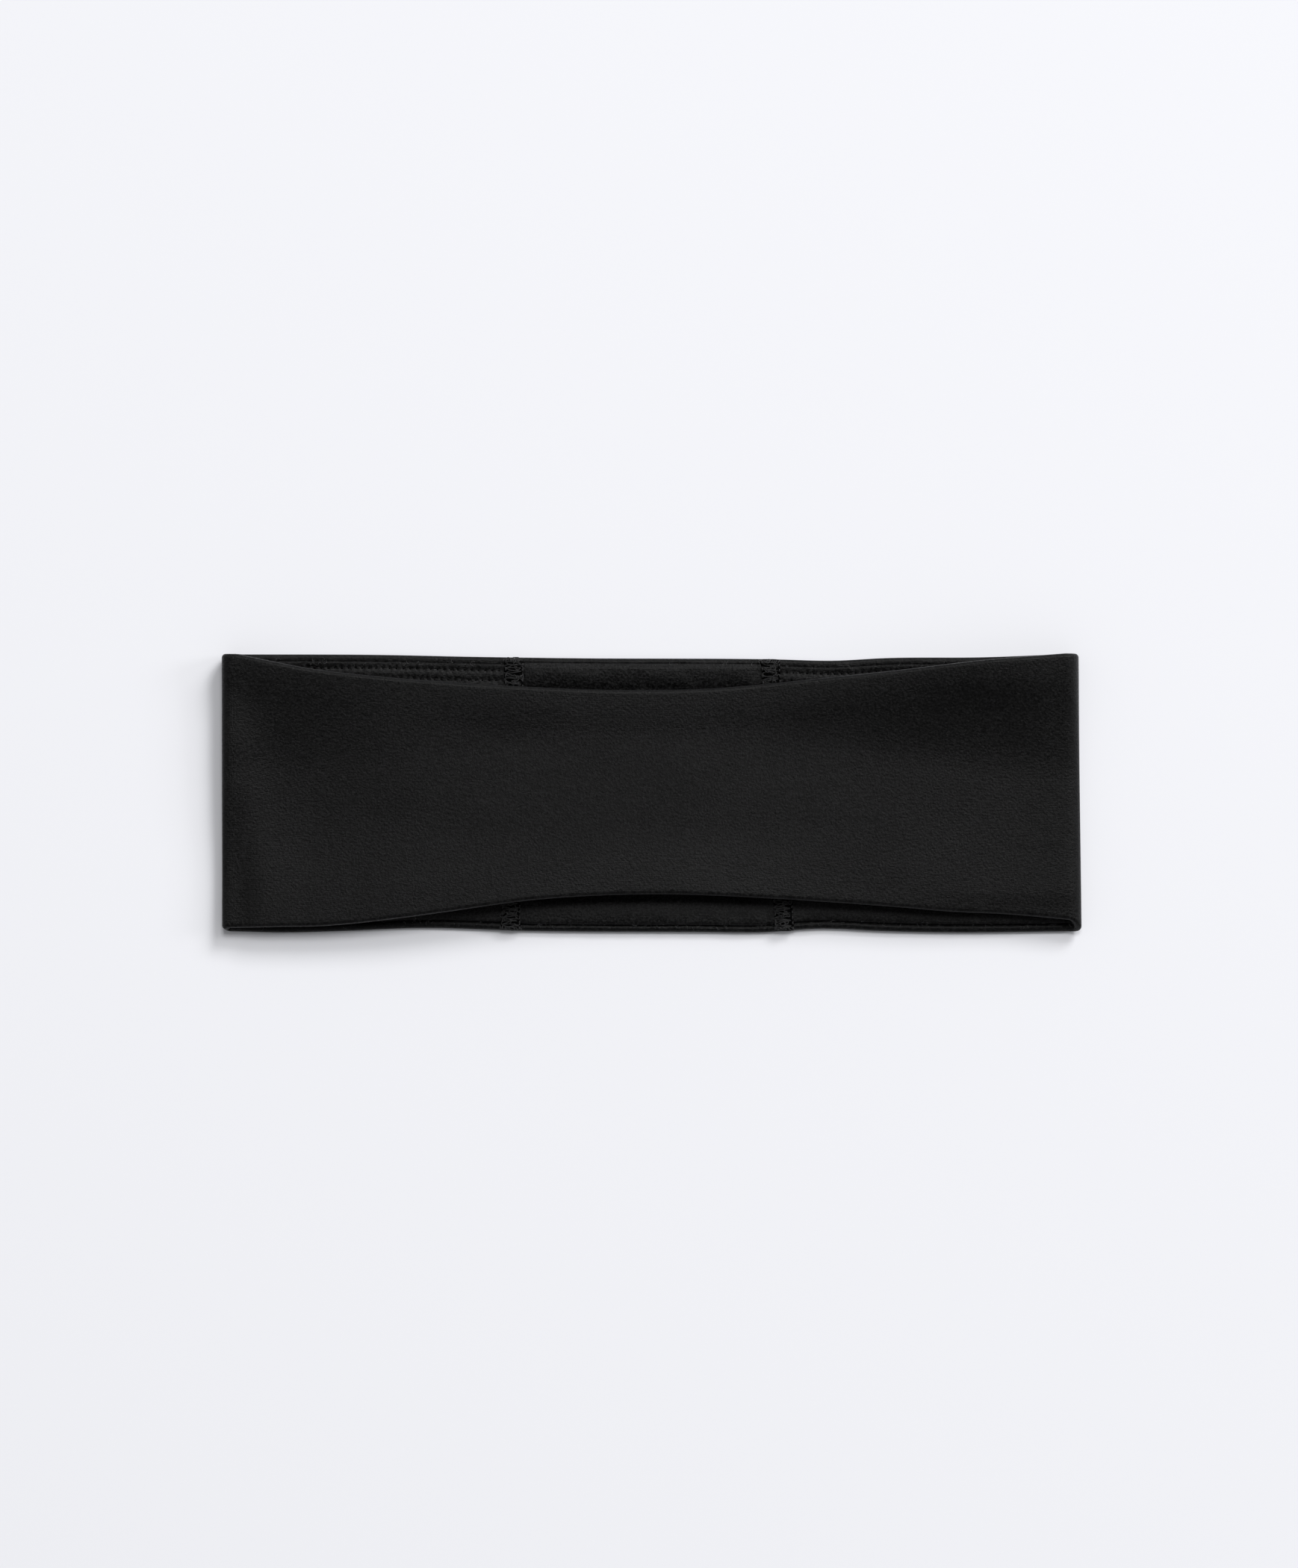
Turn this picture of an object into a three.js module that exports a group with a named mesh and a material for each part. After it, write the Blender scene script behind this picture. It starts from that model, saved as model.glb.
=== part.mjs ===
// A sports headband lying flat on a table: a sewn loop of double-ply jersey.
// The front panel runs from the left seam round both side folds to the right seam, and a
// short back panel closes the loop. Each panel is a shell with a lining inside it. The two
// panels meet end to end, and their overlocked raw edges lie over the joins on the inside.
// Units are millimetres. +X runs fold to fold, +Y from edge to edge, +Z up from the table.
import * as THREE from "three";
import { mergeVertices } from "three/addons/utils/BufferGeometryUtils.js";

// ---- driving dimensions ----
const FLAT_WIDTH = 240; // fold to fold
const BAND_HEIGHT = 78; // edge to edge at the side folds
const FABRIC = 0.55; // one ply of jersey
const PLY_SPACE = 0.4; // air between shell and lining away from the hems
const CLEARANCE = 0.3; // between pieces that lie against each other
const FRONT_LIFT = 1.2; // how far the front rises above the side folds
const LIFT_RUN = 52; // length along X over which the front rises
const FOLD_SPACE = 1.4; // inner radius left in a side fold
const RIGHT_FOLD_SLANT = 1; // the right fold leans in by this much at its top end

const HEM_TURN = 2.1; // shell rolled over each edge on to the inner face
const HEM_MARGIN = 0.35; // full-thickness hem beyond the elastic
const HEM_FADE = 4; // length over which a hem thins to the plain wall
const EDGE_THREAD_MARGIN = 0.35; // from the rolled shell's end back to the hidden edge seam
const FRONT_SWELL = 0.5; // share of the front hems' extra thickness that stands outwards

const ELASTIC_WIDTH = 4.4;
const ELASTIC_THICKNESS = 0.5;
const ROW_MARGIN = 0.25; // from the elastic's upper edge to the first row of stitches
const ROW_SPACING = 2.8; // from the first row to the second
const THREAD = 0.3; // diameter of the sewing thread
const THREAD_GAP = 0.2; // between a thread and the cloth it lies on

const LEFT_SEAM = { top: -38.5, bottom: -39.5 }; // X of each seam at the two edges
const RIGHT_SEAM = { top: 33, bottom: 37 };
const ALLOWANCE_WIDTH = 5.4; // overlocked raw edges, laid flat
const ALLOWANCE_HEIGHT = 1.3;
const OVERLOCK_PITCH = 2.1; // from one crossing of the overlock thread to the next
const OVERLOCK_THREAD = 0.6; // width of the fluffy overlock thread

// Insets of the edges from the overall height: [share of the half width, millimetres]
const FRONT_TOP = [
  [-1, 0.1],
  [-0.8, 4.5],
  [-0.65, 6.4],
  [-0.5, 7.8],
  [-0.3, 9.2],
  [-0.1, 10.1],
  [0.05, 10.1],
  [0.15, 9.7],
  [0.3, 8.2],
  [0.45, 6.4],
  [0.6, 4.6],
  [0.8, 1.9],
  [1, 0],
];
const FRONT_BOTTOM = [
  [-1, 1.5],
  [-0.9, 1.8],
  [-0.8, 2],
  [-0.72, 2.7],
  [-0.63, 3.9],
  [-0.5, 5.9],
  [-0.3, 9.1],
  [0, 10.9],
  [0.3, 9.6],
  [0.45, 8.5],
  [0.6, 7.2],
  [0.72, 6],
  [0.85, 5.3],
  [1, 3.8],
];
const BACK_TOP = [
  [-1, 0.1],
  [-0.65, 0.25],
  [-0.42, 0.8],
  [-0.2, 1.15],
  [0.3, 1.5],
  [0.44, 1.85],
  [0.56, 1.15],
  [0.8, 0.9],
  [1, 0],
];
const BACK_BOTTOM = [
  [-1, 0.4],
  [-0.9, 0.1],
  [-0.75, 0.5],
  [-0.56, 1.35],
  [-0.31, 0.55],
  [0.12, 0.2],
  [0.26, 0.1],
  [0.41, 1.15],
  [0.56, 0.45],
  [0.7, 0.1],
  [1, 0.4],
];

// ---- how finely the loop is divided ----
const FRONT_STEPS = 22;
const FOLD_STEPS = 7;
const SIDE_STEPS = 6;
const BACK_STEPS = 6;

// ---- sizes that follow ----
const HALF_HEIGHT = BAND_HEIGHT / 2;
const HEM_THICKNESS = 2 * FABRIC + ELASTIC_THICKNESS + 2 * CLEARANCE;
const WALL_THICKNESS = 2 * FABRIC + PLY_SPACE;
const ELASTIC_START = HEM_TURN + FABRIC + 2 * CLEARANCE; // from the edge
const HEM_WIDTH = ELASTIC_START + ELASTIC_WIDTH + HEM_MARGIN;
const HEM_END = HEM_WIDTH + HEM_FADE;
const UPPER_ROW = ELASTIC_START + ROW_MARGIN; // from the edge
const LOWER_ROW = UPPER_ROW + ROW_SPACING;
const FOLD_RADIUS = HEM_THICKNESS + THREAD_GAP + THREAD + FOLD_SPACE;
const FOLD_CENTRE = FLAT_WIDTH / 2 - FOLD_RADIUS;
const ALLOWANCE_CHAMFER = ALLOWANCE_HEIGHT / 3;
const ALLOWANCE_TOP = HEM_THICKNESS + CLEARANCE + ALLOWANCE_HEIGHT;
const PANEL_SETBACK = CLEARANCE / 2; // from a seam's line to a panel's end
const ROW_SETBACK = ALLOWANCE_WIDTH / 2 + CLEARANCE; // from a seam's line to a stitch row's end

const { lerp, smoothstep } = THREE.MathUtils;

// ---- the loop ----

// A smooth curve through [u, value] points given in rising order of u.
function curve(points) {
  const positions = points.map(([u]) => u);
  const values = points.map(([, value]) => value);
  const interpolant = new THREE.CubicInterpolant(positions, values, 1);
  return (u) => interpolant.evaluate(u)[0];
}

const frontTopInset = curve(FRONT_TOP);
const frontBottomInset = curve(FRONT_BOTTOM);
const backTopInset = curve(BACK_TOP);
const backBottomInset = curve(BACK_BOTTOM);

const shares = (steps) => Array.from({ length: steps + 1 }, (_, i) => i / steps);
const foldCentre = (side, share) => side * FOLD_CENTRE - (side > 0 ? RIGHT_FOLD_SLANT * share : 0);
const seamX = (seam, share) => lerp(seam.bottom, seam.top, share);

// A station is one cross-section of the loop. x depends on the share of the height, from 0 at
// the bottom edge to 1 at the top. z and normal belong to the outer face.
function lowerStation(x) {
  return {
    x,
    z: 0,
    normal: [0, -1],
    top: HALF_HEIGHT - backTopInset(x(1) / FOLD_CENTRE),
    bottom: -HALF_HEIGHT + backBottomInset(x(0) / FOLD_CENTRE),
    swell: 0,
  };
}

function upperStation(u) {
  return {
    x: (share) => lerp(foldCentre(-1, share), foldCentre(1, share), (u + 1) / 2),
    z: 2 * FOLD_RADIUS + FRONT_LIFT * smoothstep(FOLD_CENTRE * (1 - Math.abs(u)), 0, LIFT_RUN),
    normal: [0, 1],
    top: HALF_HEIGHT - frontTopInset(u),
    bottom: -HALF_HEIGHT + frontBottomInset(u),
    swell: FRONT_SWELL,
  };
}

// turn runs from 0, where a side fold leaves the table, to 1, where it meets the front.
function foldStation(side, turn) {
  const angle = Math.PI * (turn - 0.5);
  const normal = [side * Math.cos(angle), Math.sin(angle)];
  const blend = smoothstep(turn, 0, 1);
  const back = lowerStation((share) => foldCentre(side, share));
  const front = upperStation(side);
  return {
    x: (share) => foldCentre(side, share) + FOLD_RADIUS * normal[0],
    z: FOLD_RADIUS * (1 + normal[1]),
    normal,
    top: lerp(back.top, front.top, blend),
    bottom: lerp(back.bottom, front.bottom, blend),
    swell: lerp(back.swell, front.swell, blend),
  };
}

// From a seam along the table to the side fold, starting setback away from the seam's line.
function sideStations(side, seam, setback) {
  return shares(SIDE_STEPS).map((f) =>
    lowerStation((share) => lerp(seamX(seam, share) + side * setback, foldCentre(side, share), f)),
  );
}

function frontPanelStations(setback) {
  const fold = (side) => shares(FOLD_STEPS).map((turn) => foldStation(side, turn));
  return [
    ...sideStations(-1, LEFT_SEAM, setback).slice(0, -1),
    ...fold(-1).slice(0, -1),
    ...shares(FRONT_STEPS).map((f) => upperStation(2 * f - 1)),
    ...fold(1).reverse().slice(1),
    ...sideStations(1, RIGHT_SEAM, setback).reverse().slice(1),
  ];
}

function backPanelStations() {
  return shares(BACK_STEPS).map((f) =>
    lowerStation((share) => {
      const from = seamX(RIGHT_SEAM, share) - PANEL_SETBACK;
      const to = seamX(LEFT_SEAM, share) + PANEL_SETBACK;
      return lerp(from, to, f);
    }),
  );
}

// ---- bending profiles round the loop ----

// How much thicker than the plain wall the band is, at a distance in from its edge.
function hemSwell(inset) {
  const fade = THREE.MathUtils.clamp((inset - HEM_WIDTH) / HEM_FADE, 0, 1);
  return (HEM_THICKNESS - WALL_THICKNESS) * (1 - fade);
}

// A profile is drawn on a flat wall of the full height, with x from edge to edge and y outwards
// from the outer face. The hems keep their size when it is placed, and the plain wall stretches.
function place(point, station) {
  const inset = HALF_HEIGHT - Math.abs(point.x);
  const share = point.x / BAND_HEIGHT + 0.5;
  const out = point.y + station.swell * hemSwell(inset);
  let y = point.x > 0 ? station.top - inset : station.bottom + inset;
  if (inset > HEM_END) {
    const plainShare = (point.x / (HALF_HEIGHT - HEM_END) + 1) / 2;
    y = lerp(station.bottom + HEM_END, station.top - HEM_END, plainShare);
  }
  point.set(station.x(share) + out * station.normal[0], y, station.z + out * station.normal[1]);
}

function welded(geometry) {
  geometry.deleteAttribute("normal");
  geometry.deleteAttribute("uv");
  const joined = mergeVertices(geometry, 1e-4);
  joined.computeVertexNormals();
  return joined;
}

// Moves every point of an extrusion one deep; move gets the point and its step.
function extruded(profile, steps, move) {
  const options = { depth: steps, steps, bevelEnabled: false };
  const geometry = new THREE.ExtrudeGeometry(profile, options);
  const position = geometry.getAttribute("position");
  const point = new THREE.Vector3();
  for (let i = 0; i < position.count; i++) {
    point.fromBufferAttribute(position, i);
    move(point, Math.round(point.z));
    position.setXYZ(i, point.x, point.y, point.z);
  }
  return welded(geometry);
}

const bent = (profile, stations) =>
  extruded(profile, stations.length - 1, (point, step) => place(point, stations[step]));

// ---- profiles of the wall, from [inset, depth] points at the top edge ----

const wallPoint = (sign) => ([inset, depth]) => new THREE.Vector2(sign * (HALF_HEIGHT - inset), -depth);

const mirrored = (half) =>
  new THREE.Shape([...half.map(wallPoint(1)), ...half.toReversed().map(wallPoint(-1))]);

// Flat outside, rolled over each edge and laid on the inner face.
function shellProfile() {
  const roll = HEM_THICKNESS / 2; // the edge is a half round
  const ease = roll * (1 - Math.SQRT1_2);
  const bottom = HEM_THICKNESS;
  return mirrored([
    [HEM_END, 0],
    [HEM_WIDTH, 0],
    [roll, 0],
    [ease, ease],
    [0, roll],
    [ease, bottom - ease],
    [roll, bottom],
    [HEM_TURN, bottom],
    [HEM_TURN, bottom - FABRIC],
    [roll, bottom - FABRIC],
    [FABRIC, roll],
    [roll, FABRIC],
    [HEM_WIDTH, FABRIC],
    [HEM_END, FABRIC],
  ]);
}

// The inner face, with its margins turned in beside the rolled shell.
function liningProfile() {
  const edge = HEM_TURN + CLEARANCE;
  const marginEnd = FABRIC + CLEARANCE;
  return mirrored([
    [HEM_END, WALL_THICKNESS - FABRIC],
    [HEM_WIDTH, HEM_THICKNESS - FABRIC],
    [edge + FABRIC, HEM_THICKNESS - FABRIC],
    [edge + FABRIC, marginEnd],
    [edge, marginEnd],
    [edge, HEM_THICKNESS],
    [HEM_WIDTH, HEM_THICKNESS],
    [HEM_END, WALL_THICKNESS],
  ]);
}

// A tape inside the top hem, beside the lining's turned margin.
function elasticProfile() {
  const end = ELASTIC_START + ELASTIC_WIDTH;
  const near = FABRIC + CLEARANCE;
  const far = near + ELASTIC_THICKNESS;
  const corners = [
    [ELASTIC_START, near],
    [ELASTIC_START, far],
    [end, far],
    [end, near],
  ];
  return new THREE.Shape(corners.map(wallPoint(1)));
}

function threadProfile(sign, inset, depth, sides = 6) {
  const centre = wallPoint(sign)([inset, depth]);
  const spoke = (i) => new THREE.Vector2(THREAD / 2, 0).rotateAround(new THREE.Vector2(), i);
  const points = shares(sides).slice(1).map((f) => spoke(2 * Math.PI * f).add(centre));
  return new THREE.Shape(points);
}

const edgeThreadProfile = (sign) => threadProfile(sign, HEM_TURN - EDGE_THREAD_MARGIN, HEM_THICKNESS / 2);
const rowProfile = (inset) => threadProfile(1, inset, HEM_THICKNESS + THREAD_GAP + THREAD / 2);

// ---- the two joining seams ----

// Edges of the band where a seam crosses it, and X at share of the height.
function seamLine(seam) {
  const x = (share) => seamX(seam, share);
  const { top, bottom } = lowerStation(x);
  return { x, top, bottom };
}

// The raw edges: level on top, and following the lining underneath.
function allowanceGeometry(seam) {
  const { x, top, bottom } = seamLine(seam);
  const half = ALLOWANCE_WIDTH / 2;
  const shoulder = half - ALLOWANCE_CHAMFER;
  const corners = [
    [-half, 0],
    [half, 0],
    [half, 1],
    [shoulder, 2],
    [-shoulder, 2],
    [-half, 1],
  ];
  const heights = [null, ALLOWANCE_TOP - ALLOWANCE_CHAMFER, ALLOWANCE_TOP];
  const insets = [0, HEM_WIDTH, HEM_END];
  const levels = [...insets.map((i) => [top - i, i]), ...insets.toReversed().map((i) => [bottom + i, i])];
  const profile = new THREE.Shape(corners.map(([a, b]) => new THREE.Vector2(a, b)));
  return extruded(profile, levels.length - 1, (point, step) => {
    const [y, inset] = levels[step];
    const share = (y - bottom) / (top - bottom);
    const underside = WALL_THICKNESS + hemSwell(inset) + CLEARANCE;
    point.set(x(share) + point.x, y, heights[point.y] ?? underside);
  });
}

// Half the length of a strand's mitred corner, along X.
const mitre = (reach) => OVERLOCK_THREAD / 2 / Math.sin(Math.atan(OVERLOCK_PITCH / 2 / reach));

// The overlock thread zigzags across the allowance from one edge of the band to the other.
function overlockGeometry(seam) {
  const { x, top, bottom } = seamLine(seam);
  const right = ALLOWANCE_WIDTH / 2 - ALLOWANCE_CHAMFER - THREAD - THREAD_GAP;
  const left = -ALLOWANCE_WIDTH / 2 + ALLOWANCE_CHAMFER;
  const middle = (left + right) / 2;
  const corner = mitre((right - left) / 2);
  const reach = (right - left) / 2 - corner;
  const count = Math.floor((top - bottom) / OVERLOCK_PITCH);
  const strand = shares(count).map((share, i) => {
    const side = i % 2 ? 1 : -1;
    return [x(share) + middle + side * reach, lerp(bottom, top, share)];
  });
  const edge = (points, offset) => points.map(([a, b]) => new THREE.Vector2(a + offset, b));
  const profile = new THREE.Shape([...edge(strand, corner), ...edge(strand.toReversed(), -corner)]);
  return extruded(profile, 1, (point, step) => {
    point.z = ALLOWANCE_TOP + THREAD_GAP + step * THREAD;
  });
}

// The needle thread runs straight along the allowance beside the overlocking.
function needleThreadGeometry(seam) {
  const { x, top, bottom } = seamLine(seam);
  const line = ALLOWANCE_WIDTH / 2 - ALLOWANCE_CHAMFER - THREAD / 2;
  const height = ALLOWANCE_TOP + THREAD_GAP + THREAD / 2;
  const profile = threadProfile(1, HALF_HEIGHT, 0);
  return extruded(profile, 1, (point, step) => {
    const share = 1 - step;
    point.set(x(share) + line + point.x, lerp(bottom, top, share), height + point.y);
  });
}

// ---- assembly ----

const CLOTH = { color: 0x1d1d1e, roughness: 0.92 };
const LINING = { color: 0x222223, roughness: 0.95 };
const TAPE = { color: 0x171718, roughness: 0.8 };
const SEWING = { color: 0x29292a, roughness: 0.7 };

const headband = new THREE.Group();
headband.name = "sports_headband";

function add(name, geometry, finish) {
  const material = new THREE.MeshStandardMaterial({ metalness: 0, ...finish });
  const mesh = new THREE.Mesh(geometry, material);
  mesh.name = name;
  headband.add(mesh);
}

const panelStations = frontPanelStations(PANEL_SETBACK);
const rowStations = frontPanelStations(ROW_SETBACK);
const backStations = backPanelStations();

add("front_shell", bent(shellProfile(), panelStations), CLOTH);
add("front_lining", bent(liningProfile(), panelStations), LINING);
add("back_shell", bent(shellProfile(), backStations), CLOTH);
add("back_lining", bent(liningProfile(), backStations), LINING);
add("elastic_tape", bent(elasticProfile(), panelStations), TAPE);
add("elastic_stitch_upper", bent(rowProfile(UPPER_ROW), rowStations), SEWING);
add("elastic_stitch_lower", bent(rowProfile(LOWER_ROW), rowStations), SEWING);
add("front_top_edge_thread", bent(edgeThreadProfile(1), panelStations), SEWING);
add("front_bottom_edge_thread", bent(edgeThreadProfile(-1), panelStations), SEWING);
add("back_top_edge_thread", bent(edgeThreadProfile(1), backStations), SEWING);
add("back_bottom_edge_thread", bent(edgeThreadProfile(-1), backStations), SEWING);

for (const [side, seam] of [["left", LEFT_SEAM], ["right", RIGHT_SEAM]]) {
  add(`${side}_seam_allowance`, allowanceGeometry(seam), CLOTH);
  add(`${side}_overlock_thread`, overlockGeometry(seam), SEWING);
  add(`${side}_seam_needle_thread`, needleThreadGeometry(seam), SEWING);
}

export default headband;
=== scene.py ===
import math

import bpy
import numpy as np
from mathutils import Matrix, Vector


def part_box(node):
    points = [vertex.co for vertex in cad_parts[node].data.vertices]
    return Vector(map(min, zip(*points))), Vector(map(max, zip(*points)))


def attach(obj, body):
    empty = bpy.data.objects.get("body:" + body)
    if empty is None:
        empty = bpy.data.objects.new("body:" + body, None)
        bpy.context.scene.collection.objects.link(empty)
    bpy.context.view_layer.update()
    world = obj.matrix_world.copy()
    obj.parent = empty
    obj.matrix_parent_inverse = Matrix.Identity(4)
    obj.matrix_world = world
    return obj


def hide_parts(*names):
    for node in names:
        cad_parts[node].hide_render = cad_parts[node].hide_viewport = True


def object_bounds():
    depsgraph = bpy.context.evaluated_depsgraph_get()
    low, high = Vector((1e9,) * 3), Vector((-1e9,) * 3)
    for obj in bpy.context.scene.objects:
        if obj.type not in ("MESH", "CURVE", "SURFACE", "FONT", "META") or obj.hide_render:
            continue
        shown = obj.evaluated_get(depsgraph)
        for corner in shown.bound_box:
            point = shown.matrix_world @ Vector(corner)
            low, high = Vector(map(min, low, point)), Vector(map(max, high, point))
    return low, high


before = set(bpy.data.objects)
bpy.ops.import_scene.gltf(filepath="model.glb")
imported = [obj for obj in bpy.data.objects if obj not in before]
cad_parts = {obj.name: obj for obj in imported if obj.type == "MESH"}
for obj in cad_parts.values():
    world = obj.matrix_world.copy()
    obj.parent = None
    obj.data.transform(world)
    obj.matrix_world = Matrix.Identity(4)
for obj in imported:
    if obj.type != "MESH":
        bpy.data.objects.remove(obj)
CAD_LOW, CAD_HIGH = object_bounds()

# A sports headband of double-ply jersey, lying flat: a long front panel that wraps round both
# side folds, and a short back panel between two overlocked seams. Lengths are in millimetres,
# and points become metres when a mesh is made.
MM = 0.001


def box_mm(node):
    low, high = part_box(node)
    return np.array(low) / MM, np.array(high) / MM


# ---- sizes of the band, as in the CAD frame ----

FABRIC = 0.55  # one ply of jersey
HALF_WIDTH = 120.0  # of the flat loop, from its middle to a fold
HALF_HEIGHT = box_mm("front_shell")[1][1]
BAND_HEIGHT = 2 * HALF_HEIGHT
WALL = 1.5  # shell, air and lining away from the hems
HEM = box_mm("back_shell")[1][2]  # full thickness of a hem
HEM_WIDTH = 8.0
HEM_FADE = 4.0  # length over which a hem thins to the wall
SAG = 1.7  # of the front's wall between its hems
FOLD_RADIUS = HEM + 1.9
FOLD_CENTRE = HALF_WIDTH - FOLD_RADIUS
FOLD_SQUARE = {-1: 0.6, 1: 1.0}  # left and right; below 1, a fold is squarer than a half circle
SLANT = 1.0  # how far the right fold leans in at its top edge
LIFT = 1.2  # how far the front rises above the folds
LIFT_RUN = 52.0  # length along X over which it rises
FOLD_STEPS = 22  # cross-sections round a fold
SIDE_STEP = 1.2  # between cross-sections on the lower layer
FRONT_STEP = 1.6
BACK_STEP = 0.9
PANEL_SETBACK = 0.15  # from a seam's line to a panel's end
LEFT_SEAM = (-39.5, -38.5)  # X at the bottom and the top edge
RIGHT_SEAM = (37.0, 33.0)
BACK_RUN = 70.0  # about the length between the seams
PITCH = 1.9  # of the elastic's stitches
ROWS = (3.7, 6.5)  # the elastic's stitch rows, from the top edge
ROW_PHASES = (0.0, 0.4)  # where each row's stitches begin, as a share of the pitch
PIT_DEPTHS = (0.7, 0.45)  # how far each row's stitches pull the lining down


def curve(points):
    """A smooth curve through (u, value) points in rising order of u."""
    u, value = np.array(points, float).T
    slope = np.gradient(value, u)

    def at(x):
        x = np.clip(x, u[0], u[-1])
        i = np.clip(np.searchsorted(u, x, side="right") - 1, 0, len(u) - 2)
        h = u[i + 1] - u[i]
        t = (x - u[i]) / h
        a = (1 + 2 * t) * (1 - t) ** 2 * value[i] + t**2 * (3 - 2 * t) * value[i + 1]
        return a + h * t * (1 - t) * ((1 - t) * slope[i] - t * slope[i + 1])

    return at


# Insets of the edges from the overall height, against the share of the half width.
FRONT_TOP = curve([
    (-1, 0.1), (-0.8, 4.5), (-0.65, 6.4), (-0.5, 7.8), (-0.3, 9.2), (-0.1, 10.1), (0.05, 10.1),
    (0.15, 9.7), (0.3, 8.2), (0.45, 6.4), (0.6, 4.6), (0.8, 1.9), (1, 0),
])
FRONT_BOTTOM = curve([
    (-1, 1.5), (-0.9, 1.8), (-0.8, 2), (-0.72, 2.7), (-0.63, 3.9), (-0.5, 5.9), (-0.3, 9.1),
    (0, 10.9), (0.3, 9.6), (0.45, 8.5), (0.6, 7.2), (0.72, 6), (0.85, 5.3), (1, 3.8),
])
BACK_TOP = curve([
    (-1, 0.1), (-0.65, 0.25), (-0.42, 0.8), (-0.2, 1.15), (0.3, 1.5), (0.44, 1.85), (0.56, 1.15),
    (0.8, 0.9), (1, 0),
])
BACK_BOTTOM = curve([
    (-1, 0.4), (-0.9, 0.1), (-0.75, 0.5), (-0.56, 1.35), (-0.31, 0.55), (0.12, 0.2), (0.26, 0.1),
    (0.41, 1.15), (0.56, 0.45), (0.7, 0.1), (1, 0.4),
])


def smooth(x, low, high):
    """From 0 at low to 1 at high, level at both."""
    t = np.clip((x - low) / (high - low), 0, 1)
    return t * t * (3 - 2 * t)


def bell(x, width):
    return np.exp(-((x / width) ** 2))


def waves(seed, size, count=7):
    """A smooth random field of (s, w) between about -1 and 1, with bumps of roughly the given size."""
    rng = np.random.default_rng(seed)
    turn = rng.uniform(0, 2 * math.pi, count)
    rate = rng.uniform(0.6, 1.5, count) * math.pi / size
    phase = rng.uniform(0, 2 * math.pi, count)

    def at(s, w=0.0):
        total = 0.0
        for a, k, p in zip(turn, rate, phase):
            total = total + np.sin(k * (s * np.cos(a) + w * np.sin(a)) + p)
        return total / math.sqrt(count) / 1.4

    return at


# ---- the loop: arrays with one entry for each cross-section ----

STATION_ARRAYS = ("low_x", "high_x", "z", "normal", "top", "bottom", "upper", "s")


class Stations:
    """Cross-sections of the loop.

    low_x and high_x are X at the bottom and the top edge, z and normal place the outer face in
    the XZ plane, and top and bottom are Y at the two edges. upper goes from 0 on the lower layer
    to 1 on the front, and s is the length along the loop.
    """

    def __init__(self, *arrays):
        for name, array in zip(STATION_ARRAYS, arrays):
            setattr(self, name, array)


def join(parts):
    return Stations(*(np.concatenate([getattr(p, n) for p in parts]) for n in STATION_ARRAYS))


def cut(part, index):
    return Stations(*(getattr(part, n)[index] for n in STATION_ARRAYS))


def fold_x(side, share):
    return side * FOLD_CENTRE - (SLANT * share if side > 0 else 0)


def lower(low_x, high_x):
    """Stations on the layer that lies on the table."""
    n = len(low_x)
    s = np.abs((low_x + high_x) / 2) + FOLD_CENTRE + math.pi * FOLD_RADIUS
    return Stations(
        low_x, high_x, np.zeros(n), np.tile([0.0, -1.0], (n, 1)),
        HALF_HEIGHT - BACK_TOP(high_x / FOLD_CENTRE), -HALF_HEIGHT + BACK_BOTTOM(low_x / FOLD_CENTRE),
        np.zeros(n), s,
    )


def upper(u):
    """Stations on the front, at shares of the half width from -1 to 1."""
    n = len(u)
    low_x, high_x = (fold_x(-1, k) + (fold_x(1, k) - fold_x(-1, k)) * (u + 1) / 2 for k in (0, 1))
    rise = LIFT * smooth(FOLD_CENTRE * (1 - np.abs(u)), 0, LIFT_RUN)
    return Stations(
        low_x, high_x, 2 * FOLD_RADIUS + rise, np.tile([0.0, 1.0], (n, 1)),
        HALF_HEIGHT - FRONT_TOP(u), -HALF_HEIGHT + FRONT_BOTTOM(u),
        np.ones(n), np.abs(u) * FOLD_CENTRE,
    )


def fold(side, turn):
    """Stations round a side fold: turn goes from 0 on the lower layer to 1 on the front."""
    n = len(turn)
    angle = math.pi * (turn - 0.5)
    across, up = np.abs(np.cos(angle)), np.abs(np.sin(angle))
    way = np.sign(turn - 0.5)
    square = FOLD_SQUARE[side]
    at = FOLD_RADIUS * np.stack([side * across**square, way * up**square], 1)
    normal = np.stack([side * across ** (2 - square), way * up ** (2 - square)], 1)
    normal /= np.linalg.norm(normal, axis=1)[:, None]
    blend = smooth(turn, 0, 1)
    late = blend**3 if side > 0 else blend
    ends = [FRONT_TOP(side) * blend, FRONT_BOTTOM(side) * late + BACK_BOTTOM(side) * (1 - late)]
    return Stations(
        fold_x(side, 0) + at[:, 0], fold_x(side, 1) + at[:, 0], FOLD_RADIUS + at[:, 1], normal,
        HALF_HEIGHT - ends[0], -HALF_HEIGHT + ends[1],
        blend, FOLD_CENTRE + (1 - turn) * math.pi * FOLD_RADIUS,
    )


def steps(start, end, size):
    return np.linspace(start, end, max(2, round(abs(end - start) / size) + 1))


def side_run(side, seam, setback, size):
    """Stations on the lower layer, from a seam to its side fold."""
    f = steps(0, 1, size / (FOLD_CENTRE - abs(seam[0])))
    low, high = (seam[k] + side * setback for k in (0, 1))
    return lower(low + (fold_x(side, 0) - low) * f, high + (fold_x(side, 1) - high) * f)


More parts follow.
